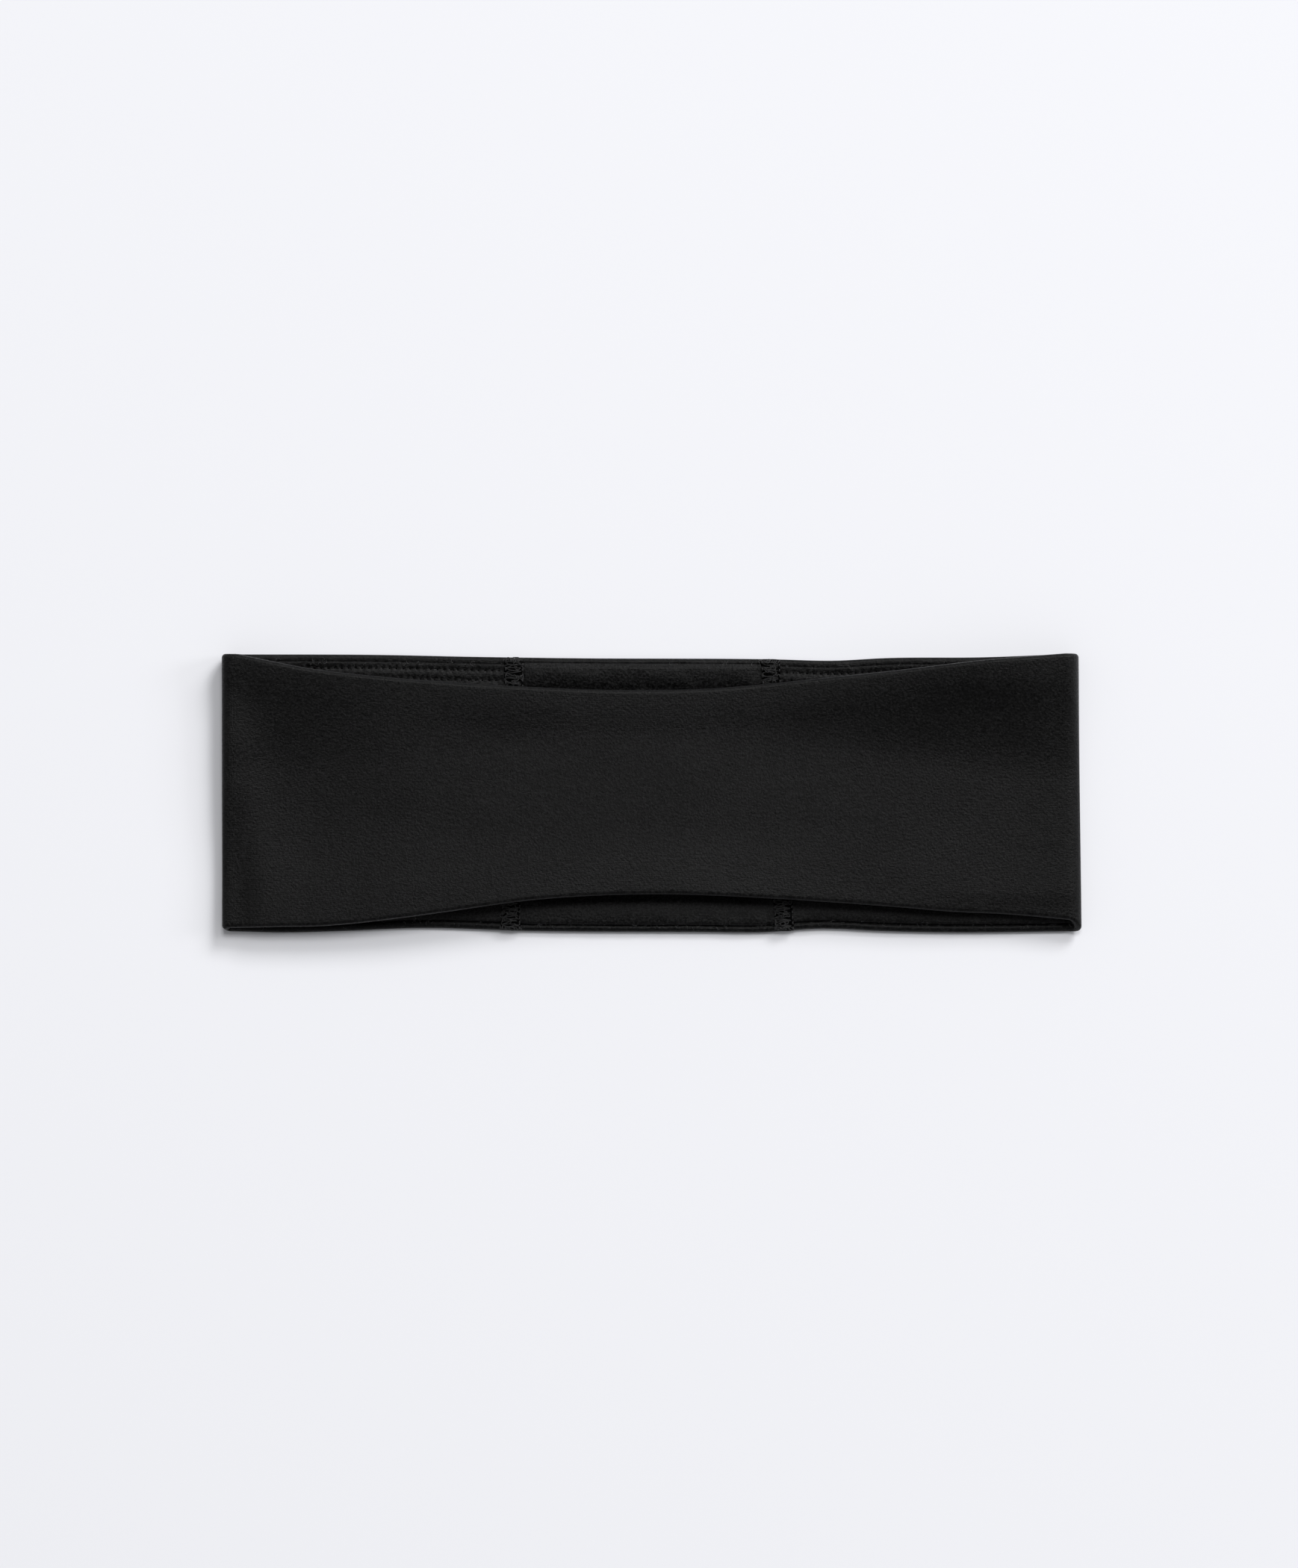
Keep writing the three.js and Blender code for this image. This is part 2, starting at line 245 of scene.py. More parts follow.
def front_panel(setback, side_size, front_size):
    """From the left seam round the folds to the right seam."""
    left = side_run(-1, LEFT_SEAM, setback, side_size)
    right = side_run(1, RIGHT_SEAM, setback, side_size)
    turn = steps(0, 1, 1 / FOLD_STEPS)
    backwards = slice(None, None, -1)
    parts = [
        cut(left, slice(None, -1)),
        cut(fold(-1, turn), slice(None, -1)),
        upper(steps(-1, 1, front_size / FOLD_CENTRE)),
        cut(fold(1, turn[::-1]), slice(1, None)),
        cut(cut(right, backwards), slice(1, None)),
    ]
    panel = join(parts)
    middle = (panel.low_x + panel.high_x) / 2
    panel.s = np.sign(middle) * panel.s  # negative on the left half
    return panel


def back_panel(setback, size):
    """From the right seam to the left seam."""
    f = steps(0, 1, size / BACK_RUN)
    ends = [(RIGHT_SEAM[k] - setback, LEFT_SEAM[k] + setback) for k in (0, 1)]
    part = lower(*(a + (b - a) * f for a, b in ends))
    part.s = (part.low_x + part.high_x) / 2
    return part


# ---- the wall ----


def thickness(inset):
    """Of the whole double-ply wall, at a distance from an edge."""
    return WALL + (HEM - WALL) * (1 - smooth(inset, HEM_WIDTH, HEM_WIDTH + HEM_FADE))


front_relief = waves(11, 34)
front_small = waves(12, 13)


def level(stations, w):
    """Y of points across the band: the hems keep their width and the wall between them stretches."""
    end = HEM_WIDTH + HEM_FADE
    inset = (HALF_HEIGHT - np.abs(w))[None, :]
    top, bottom = stations.top[:, None], stations.bottom[:, None]
    plain = ((w / (HALF_HEIGHT - end) + 1) / 2)[None, :]
    y = np.where(w[None, :] > 0, top - inset, bottom + inset)
    return np.where(inset > end, bottom + end + (top - bottom - 2 * end) * plain, y)


def common(stations, w, y):
    """How far the whole wall stands above its plain place.

    On the front, both hems stand proud and the wall between them sags. The top hem rises most
    beside the side folds, where it springs open. The sag is deepest beside the left fold, whose
    bottom corner is pressed flat.
    """
    inset = HALF_HEIGHT - np.abs(w)[None, :]
    s = stations.s[:, None]
    x = np.clip(s, -FOLD_CENTRE, FOLD_CENTRE)
    side = np.abs(x) / FOLD_CENTRE
    run = FOLD_CENTRE - np.abs(x)
    right = smooth(x, -20, 20)
    left = 1 - right
    outer = smooth(side, 0.2, 0.9)
    low = smooth(-y, -3, 27)
    near = bell(run, 7)
    nearer = bell(run, 4.5)

    top_rise = 0.45 + 0.6 * smooth(side, 0.1, 0.4)
    top_rise = top_rise + (3.2 + 1.1 * right) * smooth(side, 0.55 - 0.3 * right, 0.95 - 0.05 * right)
    top_rise = top_rise * smooth(y, 13 - 8 * outer, 26 + 14 * outer)
    bottom_rise = 1.9 + 0.9 * left * smooth(side, 0.65, 0.9) - 1.0 * right * smooth(side, 0.2, 0.6)
    bottom_rise = bottom_rise * smooth(-y, 9 - 7 * outer, 37 + 7 * outer)
    out = top_rise + bottom_rise - SAG

    # a hollow beside the left fold, a fall right of the middle and a crest in the top right hem
    out = out - 1.6 * bell(x + 102, 26) - 0.8 * smooth(x, 5, 40)
    out = out + 0.9 * bell(x - 97, 15) * smooth(y, 22, 33)
    # the left fold bulges above the middle and is pressed down at both corners
    out = out + left * (1.6 * (1 - low) * near - 1.4 * low * nearer - 2.6 * smooth(y, 10, 30) * near)
    out = out - left * 0.3 * smooth(-y, 20, 37) * bell(run, 9)
    # the right fold sinks towards its top corner, and its bottom hem lies lower
    out = out + right * (0.3 - smooth(y, 10, 30)) * near
    out = out - 0.5 * right * smooth(side, 0.55, 0.8) * smooth(-y, 27, 34)
    out = out + 0.3 * smooth(x, 20, 110) * smooth(-y, -25, 15)
    # the cloth's own unevenness, fading at the edges
    uneven = 0.12 * front_relief(s, w[None, :]) + 0.04 * front_small(s, w[None, :])
    out = out + smooth(inset, 3, 16) * uneven
    return out * stations.upper[:, None]


def place(stations, w, depth):
    """Points (station, w, depth) in millimetres."""
    y = level(stations, w)
    share = (w / BAND_HEIGHT + 0.5)[None, :]
    x = stations.low_x[:, None] + (stations.high_x - stations.low_x)[:, None] * share
    x = x - depth * stations.normal[:, 0][:, None]
    z = stations.z[:, None] + common(stations, w, y) - depth * stations.normal[:, 1][:, None]
    return np.stack([x, y, z], -1)


def face_run(start, end):
    """Positions across the band between two places: fine near the hems, coarse in the middle."""
    middle = steps(0, 14, 2.4)
    wall = steps(15.2, HALF_HEIGHT - 9, 1.2)
    hem = steps(HALF_HEIGHT - 8.4, 50, 0.45)
    half = np.concatenate([middle, wall, hem])
    both = np.concatenate([-half[::-1], half[1:]])
    return both[(both > start) & (both < end)]


# Centre lines at the bottom (-1) and the top (1) edge, as points past the end of the rolled shell
# and below the hem's face. The top edge is pressed flat; at the bottom, both plies turn down.
SHELL_TUCK = {
    -1: [(0.36, 1.15), (0.36, 0.8), (0.35, 0.55), (0.22, 0.33)],
    1: [(1.05, 0.78), (0.85, 0.64), (0.6, 0.47), (0.32, 0.31)],
}
LINING_MARGIN = {
    -1: [(1.05, 1.25), (0.97, 0.9), (0.94, 0.65), (0.95, 0.45), (1.06, 0.3)],
    1: [(0.4, 0.05), (0.7, 0.1), (1.0, 0.2), (1.3, 0.27)],
}


def hem_points(turn, points):
    return np.array([(turn + past, HEM - below) for past, below in points])


def shell_line(turns):
    """Centre line of the shell in (w, depth), from the bottom roll's end round to the top one's."""
    line = []
    for sign, turn in ((-1, turns[0]), (1, turns[1])):
        b = HEM / 2 - FABRIC / 2
        a = min(b, turn - 0.12)
        angle = np.linspace(-math.pi / 2, math.pi / 2, 11)
        roll = np.stack([FABRIC / 2 + a - a * np.cos(angle), HEM / 2 - b * np.sin(angle)], 1)
        edge = np.concatenate([hem_points(turn, SHELL_TUCK[sign]), roll])
        edge[:, 0] = sign * (HALF_HEIGHT - edge[:, 0])
        line.append(edge)
    face = face_run(line[0][-1][0] + 0.3, line[1][-1][0] - 0.3)
    middle = np.stack([face, np.full(len(face), FABRIC / 2)], 1)
    return np.concatenate([line[0], middle, line[1][::-1]])


def lining_line(turns):
    """Centre line of the lining in (w, depth), from one turned margin to the other."""
    line = []
    for sign, turn in ((-1, turns[0]), (1, turns[1])):
        edge = hem_points(turn, LINING_MARGIN[sign])
        edge[:, 0] = sign * (HALF_HEIGHT - edge[:, 0])
        line.append(edge)
    face = face_run(line[0][-1][0] + 0.2, line[1][-1][0] - 0.2)
    middle = np.stack([face, thickness(HALF_HEIGHT - np.abs(face)) - FABRIC / 2], 1)
    return np.concatenate([line[0], middle, line[1][::-1]])


def thick(line, half):
    """The two sides of a centre line, as (w, depth) lists."""
    along = np.gradient(line, axis=0)
    along /= np.linalg.norm(along, axis=1)[:, None]
    across = np.stack([-along[:, 1], along[:, 0]], 1)
    return line + half * across, line - half * across


# ---- meshes ----


def new_object(name, verts, faces, attributes=()):
    """A smooth-shaded object of closed bodies from points in millimetres, with its faces turned out."""
    mesh = bpy.data.meshes.new(name)
    mesh.from_pydata((np.asarray(verts, float) * MM).tolist(), [], faces)
    for key, values in attributes:
        layer = mesh.attributes.new(key, "FLOAT_VECTOR", "POINT")
        layer.data.foreach_set("vector", np.asarray(values, np.float32).ravel())
    mesh.update()
    if signed_volume(mesh) < 0:
        mesh.flip_normals()
    mesh.shade_smooth()
    obj = bpy.data.objects.new(name, mesh)
    bpy.context.scene.collection.objects.link(obj)
    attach(obj, "root")
    return obj


def signed_volume(mesh):
    """Below zero when the faces point in."""
    mesh.calc_loop_triangles()
    corner = np.empty(len(mesh.loop_triangles) * 3, np.int32)
    mesh.loop_triangles.foreach_get("vertices", corner)
    at = np.empty(len(mesh.vertices) * 3, np.float32)
    mesh.vertices.foreach_get("co", at)
    a, b, c = at.reshape(-1, 3).astype(float)[corner.reshape(-1, 3).T]
    return float(np.einsum("ij,ij->i", a, np.cross(b, c)).sum() / 6)


def skin(points):
    """Faces of a grid (n, m) that is closed round its second direction, with a face at each end."""
    n, m = points.shape[:2]
    i, j = np.meshgrid(np.arange(n - 1), np.arange(m), indexing="ij")
    k = (j + 1) % m
    quads = np.stack([i * m + j, i * m + k, (i + 1) * m + k, (i + 1) * m + j], -1).reshape(-1, 4)
    faces = quads.tolist()
    half = m // 2
    for row, flip in ((0, True), (n - 1, False)):
        for a in range(half - 1):
            q = [row * m + a, row * m + a + 1, row * m + m - 2 - a, row * m + m - 1 - a]
            faces.append(q[::-1] if flip else q)
    return faces


def cloth(name, stations, line, own=None, taper=()):
    """A ply of jersey along the stations. own(stations, w, depth) moves its points in depth.

    taper is its thickness as a share, at the last points of the line.
    """
    half = np.full((len(line), 1), FABRIC / 2)
    if taper:
        half[-len(taper):, 0] *= taper
    first, second = thick(line, half)
    section = np.concatenate([first, second[::-1]])
    w, depth = section.T
    depth = np.tile(depth, (len(stations.s), 1))
    if own is not None:
        centre = np.concatenate([line, line[::-1]])
        depth = depth + own(stations, centre[:, 0], centre[:, 1])
    points = place(stations, w, depth)
    step = np.linalg.norm(np.diff(line, axis=0), axis=1)
    run = np.concatenate([[0], np.cumsum(step)])
    run = np.concatenate([run, run[::-1]])
    knit = np.zeros(points.shape)
    knit[..., 0] = stations.s[:, None]
    knit[..., 1] = run[None, :]
    return new_object(name, points.reshape(-1, 3), skin(points), [("knit", knit.reshape(-1, 3))])


class Tubes:
    """Closed tubes gathered into one mesh."""

    def __init__(self, sides=6):
        self.sides, self.verts, self.faces, self.count = sides, [], [], 0

    def add(self, path, radius):
        """A round tube along a path, narrowing at both ends."""
        path = np.asarray(path, float)
        n, m = len(path), self.sides
        along = np.gradient(path, axis=0)
        along /= np.linalg.norm(along, axis=1)[:, None] + 1e-12
        up = np.tile([0.0, 0.0, 1.0], (n, 1))
        side = np.cross(along, up)
        flat = np.linalg.norm(side, axis=1) < 0.2
        side[flat] = np.cross(along[flat], [1.0, 0.0, 0.0])
        for i in range(1, n):  # keeps the tube from twisting
            side[i] = side[i - 1] - along[i] * np.dot(side[i - 1], along[i])
            side[i] /= np.linalg.norm(side[i]) + 1e-12
        side[0] /= np.linalg.norm(side[0]) + 1e-12
        other = np.cross(along, side)
        radius = np.broadcast_to(radius, (n,)).copy()
        radius[0] *= 0.45
        radius[-1] *= 0.45
        angle = np.linspace(0, 2 * math.pi, m, endpoint=False)
        ring = np.cos(angle)[None, :, None] * side[:, None, :]
        ring = ring + np.sin(angle)[None, :, None] * other[:, None, :]
        points = path[:, None, :] + radius[:, None, None] * ring
        i, j = np.meshgrid(np.arange(n - 1), np.arange(m), indexing="ij")
        k = (j + 1) % m
        quads = np.stack([i * m + j, i * m + k, (i + 1) * m + k, (i + 1) * m + j], -1).reshape(-1, 4)
        base = self.count
        self.faces += (quads + base).tolist()
        self.faces.append([base + a for a in range(m)][::-1])
        self.faces.append([base + (n - 1) * m + a for a in range(m)])
        self.verts.append(points.reshape(-1, 3))
        self.count += n * m

    def object(self, name):
        return new_object(name, np.concatenate(self.verts), self.faces)


# ---- materials ----


def nodes_of(name):
    material = bpy.data.materials.new(name)
    material.use_nodes = True
    tree = material.node_tree
    tree.nodes.clear()
    out = tree.nodes.new("ShaderNodeOutputMaterial")
    shader = tree.nodes.new("ShaderNodeBsdfPrincipled")
    tree.links.new(shader.outputs["BSDF"], out.inputs["Surface"])
    return material, tree, shader


def math_node(tree, operation, a, b=None, c=None):
    node = tree.nodes.new("ShaderNodeMath")
    node.operation = operation
    for socket, value in zip(node.inputs, (a, b, c)):
        if value is None:
            continue
        if isinstance(value, (int, float)):
            socket.default_value = value
        else:
            tree.links.new(value, socket)
    return node.outputs[0]


def noise(tree, vector, scale, detail=2.0, roughness=0.5):
    node = tree.nodes.new("ShaderNodeTexNoise")
    node.inputs["Scale"].default_value = scale
    node.inputs["Detail"].default_value = detail
    node.inputs["Roughness"].default_value = roughness
    tree.links.new(vector, node.inputs["Vector"])
    return node.outputs["Fac"]


def ramp(tree, value, stops):
    node = tree.nodes.new("ShaderNodeValToRGB")
    while len(node.color_ramp.elements) < len(stops):
        node.color_ramp.elements.new(0.5)
    for element, (place_at, colour) in zip(node.color_ramp.elements, stops):
        element.position = place_at
        element.color = (*colour, 1)
    tree.links.new(value, node.inputs["Fac"])
    return node.outputs["Color"]


def bump(tree, shader, height, distance, strength=1.0):
    node = tree.nodes.new("ShaderNodeBump")
    node.inputs["Distance"].default_value = distance
    node.inputs["Strength"].default_value = strength
    tree.links.new(height, node.inputs["Height"])
    tree.links.new(node.outputs["Normal"], shader.inputs["Normal"])


def grey(value, tint=1.03):
    return (value, value, value * tint)


def knit_material(name, dark, light, wale=0.425, course=0.34, fuzz=1.0, gloss=0.135):
    """Fine jersey: wales across the band, stitches along them, and a slight melange. The stitch relief and
    the wale grooves are also painted into the colour as shade.
    """
    material, tree, shader = nodes_of(name)
    knit = tree.nodes.new("ShaderNodeAttribute")
    knit.attribute_name = "knit"
    place_in = tree.nodes.new("ShaderNodeTexCoord").outputs["Object"]
    split = tree.nodes.new("ShaderNodeSeparateXYZ")
    tree.links.new(knit.outputs["Vector"], split.inputs[0])
    s, v = split.outputs[0], split.outputs[1]
    drift = noise(tree, place_in, 90, 1)
    s = math_node(tree, "MULTIPLY_ADD", drift, 1.1, s)
    phase = math_node(tree, "MULTIPLY", s, 1 / wale)
    saw = math_node(tree, "FRACT", phase)
    fold_back = math_node(tree, "ABSOLUTE", math_node(tree, "SUBTRACT", saw, 0.5))
    rib = math_node(tree, "COSINE", math_node(tree, "MULTIPLY", fold_back, 4 * math.pi))
    rib = math_node(tree, "MULTIPLY", rib, -0.5)  # two legs of each stitch
    wale_groove_shade = math_node(tree, "SMOOTH_MIN", math_node(tree, "MULTIPLY", fold_back, 5.0), 1.0, 0.3)
    row = math_node(tree, "MULTIPLY_ADD", fold_back, 0.9, math_node(tree, "MULTIPLY", v, 1 / course))
    stitch = math_node(tree, "SINE", math_node(tree, "MULTIPLY", row, 2 * math.pi))
    height = math_node(tree, "MULTIPLY_ADD", stitch, 0.3, math_node(tree, "MULTIPLY", rib, 0.5))
    speck = noise(tree, place_in, 3200, 2, 0.6)
    blotch = noise(tree, place_in, 1500, 1, 0.6)
    cloud = noise(tree, place_in, 60, 2, 0.5)
    # Painted shade: the tone follows the stitch relief, lighter on raised loops and darker in the grooves
    # between wales; the specks, blotches and cloud are the melange's random tone.
    tone = math_node(tree, "MULTIPLY_ADD", height, 0.22, 0.5)
    tone = math_node(tree, "MULTIPLY_ADD", math_node(tree, "SUBTRACT", speck, 0.5), 2.2 * fuzz, tone)
    tone = math_node(tree, "MULTIPLY_ADD", math_node(tree, "SUBTRACT", blotch, 0.5), 2.2 * fuzz, tone)
    tone = math_node(tree, "MULTIPLY_ADD", math_node(tree, "SUBTRACT", cloud, 0.5), 0.35, tone)
    # painted shade: darker in the grooves between wales
    tone = math_node(tree, "MULTIPLY", tone, math_node(tree, "MULTIPLY_ADD", wale_groove_shade, 0.25, 0.75))
    middle = dark + 0.25 * (light - dark)
    colour = ramp(tree, tone, [(0.0, grey(dark)), (0.5, grey(middle)), (1.0, grey(light))])
    tree.links.new(colour, shader.inputs["Base Color"])
    uneven = math_node(tree, "MULTIPLY_ADD", blotch, 1.3, math_node(tree, "MULTIPLY_ADD", speck, 0.9, -1.1))
    tree.links.new(math_node(tree, "MULTIPLY_ADD", uneven, 0.3, 0.41), shader.inputs["Roughness"])
    height = math_node(tree, "MULTIPLY_ADD", speck, 0.8, height)
    height = math_node(tree, "MULTIPLY_ADD", blotch, 4.5, height)
    bump(tree, shader, height, 0.00006, 0.7)
    shader.inputs["Specular IOR Level"].default_value = gloss
    return material


def thread_material(name, dark, light, scale=1900, sheen=0.1, gloss=0.25):
    """Spun thread: fine plies across its length, with lighter and darker stretches, and painted shade
    between the plies.
    """
    material, tree, shader = nodes_of(name)
    place_in = tree.nodes.new("ShaderNodeTexCoord").outputs["Object"]
    ply = tree.nodes.new("ShaderNodeTexWave")
    ply.wave_type = "BANDS"
    ply.bands_direction = "DIAGONAL"
    ply.inputs["Scale"].default_value = scale
    ply.inputs["Distortion"].default_value = 3.0
    tree.links.new(place_in, ply.inputs["Vector"])
    stretch = noise(tree, place_in, 900, 2)
    tone = math_node(tree, "MULTIPLY", stretch, 0.7)
    # Painted shade: the colour is lighter on the ply crests and darker between them; the stretches are
    # random tone.
    tone = math_node(tree, "MULTIPLY_ADD", ply.outputs["Fac"], 0.45, tone)
    colour = ramp(tree, tone, [(0.15, grey(dark)), (0.95, grey(light))])
    tree.links.new(colour, shader.inputs["Base Color"])
    tree.links.new(math_node(tree, "MULTIPLY_ADD", stretch, 0.25, 0.5), shader.inputs["Roughness"])
    bump(tree, shader, ply.outputs["Fac"], 0.00005, 0.6)
    shader.inputs["Specular IOR Level"].default_value = gloss
    shader.inputs["Sheen Weight"].default_value = sheen
    shader.inputs["Sheen Roughness"].default_value = 0.5
    return material


def tape_material(name):
    """Woven elastic: ribs along the tape crossed by weft, with painted shade where they sink."""
    material, tree, shader = nodes_of(name)
    place_in = tree.nodes.new("ShaderNodeTexCoord").outputs["Object"]
    rib = tree.nodes.new("ShaderNodeTexWave")
    rib.bands_direction = "Y"
    rib.inputs["Scale"].default_value = 500
    weft = tree.nodes.new("ShaderNodeTexWave")
    weft.bands_direction = "X"
    weft.inputs["Scale"].default_value = 700
    for wave in (rib, weft):
        tree.links.new(place_in, wave.inputs["Vector"])
    height = math_node(tree, "MULTIPLY", rib.outputs["Fac"], weft.outputs["Fac"])
    # Painted shade: the colour follows the weave's height, darker where rib or weft sinks.
    tree.links.new(ramp(tree, height, [(0, grey(0.006)), (1, grey(0.02))]), shader.inputs["Base Color"])
    bump(tree, shader, height, 0.0001)
    shader.inputs["Roughness"].default_value = 0.7
    shader.inputs["Specular IOR Level"].default_value = 0.2
    return material


SHELL_KNIT = knit_material("jersey_shell", 0.0001, 0.0074)
# The lining's jersey is lighter than the shell's; part of that is painted light, lifting it where the front
# shades it in the gaps.
LINING_KNIT = knit_material("jersey_lining", 0.0002, 0.011, wale=0.46, course=0.36, fuzz=1.15)
# The raw edges under the overlock are near black with little gloss: painted shade for the dark gaps between
# the loops.
RAW_EDGE_SHADE_KNIT = knit_material("jersey_raw_edge_painted_shade", 0.0001, 0.002, wale=0.5, course=0.4, fuzz=1.6, gloss=0.02)
SEWING = thread_material("sewing_thread", 0.002, 0.03, sheen=0.05)
ROW_THREAD = thread_material("elastic_stitch_thread", 0.0002, 0.003, sheen=0.0, gloss=0.03)
FLUFFY = thread_material("overlock_thread", 0.0006, 0.022, scale=1300, sheen=0.05)
TAPE = tape_material("woven_elastic")
LINT = thread_material("loose_fibre", 0.03, 0.1, sheen=0.3)


def dress(obj, material, slot, *replaced):
    obj.data.materials.append(material)
    if replaced:
        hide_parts(*replaced)


# ---- the two panels ----

SIDE_TURNS = (1.5, 1.5)  # where the rolled shell ends, at the bottom and the top edge
BACK_TURNS = (1.3, 0.95)
WELTS = ((2.6, 0.1, 0.7), (5.0, 0.09, 0.8))  # above each stitch row: inset, height and half width
PUFF = 0.6  # of the back lining between its seams
TAPER = (0.95, 0.72, 0.4, 0.18)  # of the lining's top margin, pressed flat against the rolled shell

near_seam = waves(21, 6)
puffs = waves(22, 16)
fine = waves(23, 3.2)


def stitch_dip(s, inset):
    """How far the elastic's stitches pull the lining down at a place in the top hem."""
    total = 0.0
    for row, phase, deep in zip(ROWS, ROW_PHASES, PIT_DEPTHS):
        pit = (0.5 - 0.5 * np.cos(2 * math.pi * (s / PITCH + phase))) ** 3
        total = total + 0.03 * bell(inset - row, 0.8) + deep * bell(inset - row, 0.4) * pit
    return total


def open_face(inset, depth):
    """1 where the lining faces the inside of the loop, 0 where it is tucked into a hem."""
    return np.where(inset > HEM_WIDTH, 1.0, smooth(depth[None, :], 1.3, 1.7))


def front_lining_own(stations, w, depth):
    """The elastic's welts and stitch pits in the top hem, and a plain swell in the bottom one."""
    inset = HALF_HEIGHT - np.abs(w)[None, :]
    s = stations.s[:, None]
    top = (w > 0)[None, :]
    welt = sum(high * bell(inset - middle, width) for middle, high, width in WELTS)
    plain = 0.3 * bell(inset - 4.2, 2.2)
    shape = np.where(top, welt - stitch_dip(s, inset), plain)
    uneven = 0.07 * fine(s, w[None, :]) + 0.12 * puffs(s, w[None, :]) * smooth(inset, 2, 5)
    return open_face(inset, depth) * (shape + uneven)


def back_lining_own(stations, w, depth):
    """Both hems puff up, less so towards the seams."""
    inset = HALF_HEIGHT - np.abs(w)[None, :]
    s = stations.s[:, None]
    from_seam = np.minimum(s - (LEFT_SEAM[0] + 2.6), RIGHT_SEAM[1] - 2.6 - s)
    round_end = 0.35 + 0.65 * np.sqrt(np.clip(from_seam / 3.5, 0, 1))
    top = (w > 0)[None, :]
    crest = np.where(top, 3.3, 4.4)
    bend = np.where(top & (inset < crest), 0.075, 0.035)
    puff = (PUFF - bend * (inset - crest) ** 2) * np.where(top, smooth(inset, 1.4, 2.6), 1.0)
    puff = (np.maximum(puff, -0.35) * (1 - smooth(inset, 8, 12)) + 0.1) * round_end
    uneven = 0.06 * fine(s, w[None, :]) + 0.15 * puffs(s, w[None, :]) * smooth(inset, 2, 5)
    return open_face(inset, depth) * (puff + uneven)


def shell_own(stations, w, depth):
    """The rolled edge is slightly uneven along its length."""
    rolled = smooth(depth[None, :], 1.2, 1.9)
    s = stations.s[:, None]
    return rolled * (0.08 * fine(s, w[None, :]) + 0.06 * near_seam(s, w[None, :]))


panel = front_panel(PANEL_SETBACK, SIDE_STEP, FRONT_STEP)
fine_panel = front_panel(PANEL_SETBACK, PITCH / 4, FRONT_STEP)
back = back_panel(PANEL_SETBACK, BACK_STEP)

front_shell = cloth("front_panel_shell", panel, shell_line(SIDE_TURNS), shell_own)
dress(front_shell, SHELL_KNIT, "shell_jersey", "front_shell")
front_lining = cloth("front_panel_lining", fine_panel, lining_line(SIDE_TURNS), front_lining_own, TAPER)
dress(front_lining, LINING_KNIT, "lining_jersey", "front_lining")
back_shell = cloth("back_panel_shell", back, shell_line(BACK_TURNS), shell_own)
dress(back_shell, SHELL_KNIT, "shell_jersey", "back_shell")
back_lining = cloth("back_panel_lining", back, lining_line(BACK_TURNS), back_lining_own, TAPER)
dress(back_lining, LINING_KNIT, "lining_jersey", "back_lining")

# ---- threads that run along the band ----


def along_band(stations, inset, depth):
    """Path at a distance from the top edge (or, negative, from the bottom edge) and a depth."""
    w = np.array([math.copysign(HALF_HEIGHT - abs(inset), inset)])
    column = np.asarray(depth, float).reshape(-1, 1)
    return place(stations, w, np.broadcast_to(column, (len(stations.s), 1)))[:, 0]


EDGE_PITCH = 2.4
EDGE_RADIUS = 0.15


def edge_thread(name, node, stations, inset):
    """The hidden seam that joins shell and lining inside a rolled edge."""
    tube = Tubes(6)
    path = along_band(stations, inset, HEM / 2 + 0.12 * np.sin(2 * math.pi * stations.s / EDGE_PITCH))
    tube.add(path, EDGE_RADIUS)
    dress(tube.object(name), SEWING, "thread", node)


edge_thread("front_top_edge_seam", "front_top_edge_thread", panel, 1.6)
edge_thread("front_bottom_edge_seam", "front_bottom_edge_thread", panel, -1.6)
edge_thread("back_top_edge_seam", "back_top_edge_thread", back, 1.3)
edge_thread("back_bottom_edge_seam", "back_bottom_edge_thread", back, -1.6)

ROW_SETBACK = 3.0  # from a seam's line to the end of a stitch row
STITCH_RADIUS = 0.27
STITCH_SINK = 0.32  # of a stitch's middle below the hem's face
STITCH_DIVE = 0.9  # how much deeper it would be half a pitch away
STITCH_SHARE = 0.42  # of the pitch that a stitch covers

row_stations = front_panel(ROW_SETBACK, PITCH / 8, PITCH / 8)


def stitch_row(name, node, row, phase):
    """Separate stitches, each lying in its own pit in the lining."""
    tubes = Tubes(7)
    rng = np.random.default_rng(31)
    turn = row_stations.s / PITCH + phase
    number = np.floor(turn).astype(int)
    for k in np.unique(number):
        index = np.nonzero(number == k)[0]
        if len(index) < 7:
            continue
        from_middle = np.abs(2 * (turn[index] - k) - 1)
        depth = HEM - STITCH_SINK + rng.uniform(-0.04, 0.04) - STITCH_DIVE * from_middle**2
        keep = from_middle < STITCH_SHARE
        if np.count_nonzero(keep) < 3:
            continue
        inset = row + rng.uniform(-0.06, 0.06)
        path = along_band(cut(row_stations, index[keep]), inset, depth[keep])
        tubes.add(path, STITCH_RADIUS)
    dress(tubes.object(name), ROW_THREAD, "thread", node)


stitch_row("elastic_stitches_upper", "elastic_stitch_upper", ROWS[0], ROW_PHASES[0])
stitch_row("elastic_stitches_lower", "elastic_stitch_lower", ROWS[1], ROW_PHASES[1])


TAPE_INSETS = (3.4, 7.5)  # of its two edges, from the band's top edge
TAPE_DEPTH = 1.1
TAPE_THICKNESS = 0.4


def tape():
    """The flat elastic inside the top hem."""
    inset = np.linspace(*TAPE_INSETS, 12)
    line = np.stack([HALF_HEIGHT - inset, np.full(len(inset), TAPE_DEPTH)], 1)
    first, second = thick(line, TAPE_THICKNESS / 2)
    section = np.concatenate([first, second[::-1]])
    w, depth = section.T
    points = place(panel, w, np.tile(depth, (len(panel.s), 1)))
    obj = new_object("elastic_band", points.reshape(-1, 3), skin(points))
    dress(obj, TAPE, "elastic", "elastic_tape")


tape()

# ---- the two joining seams ----

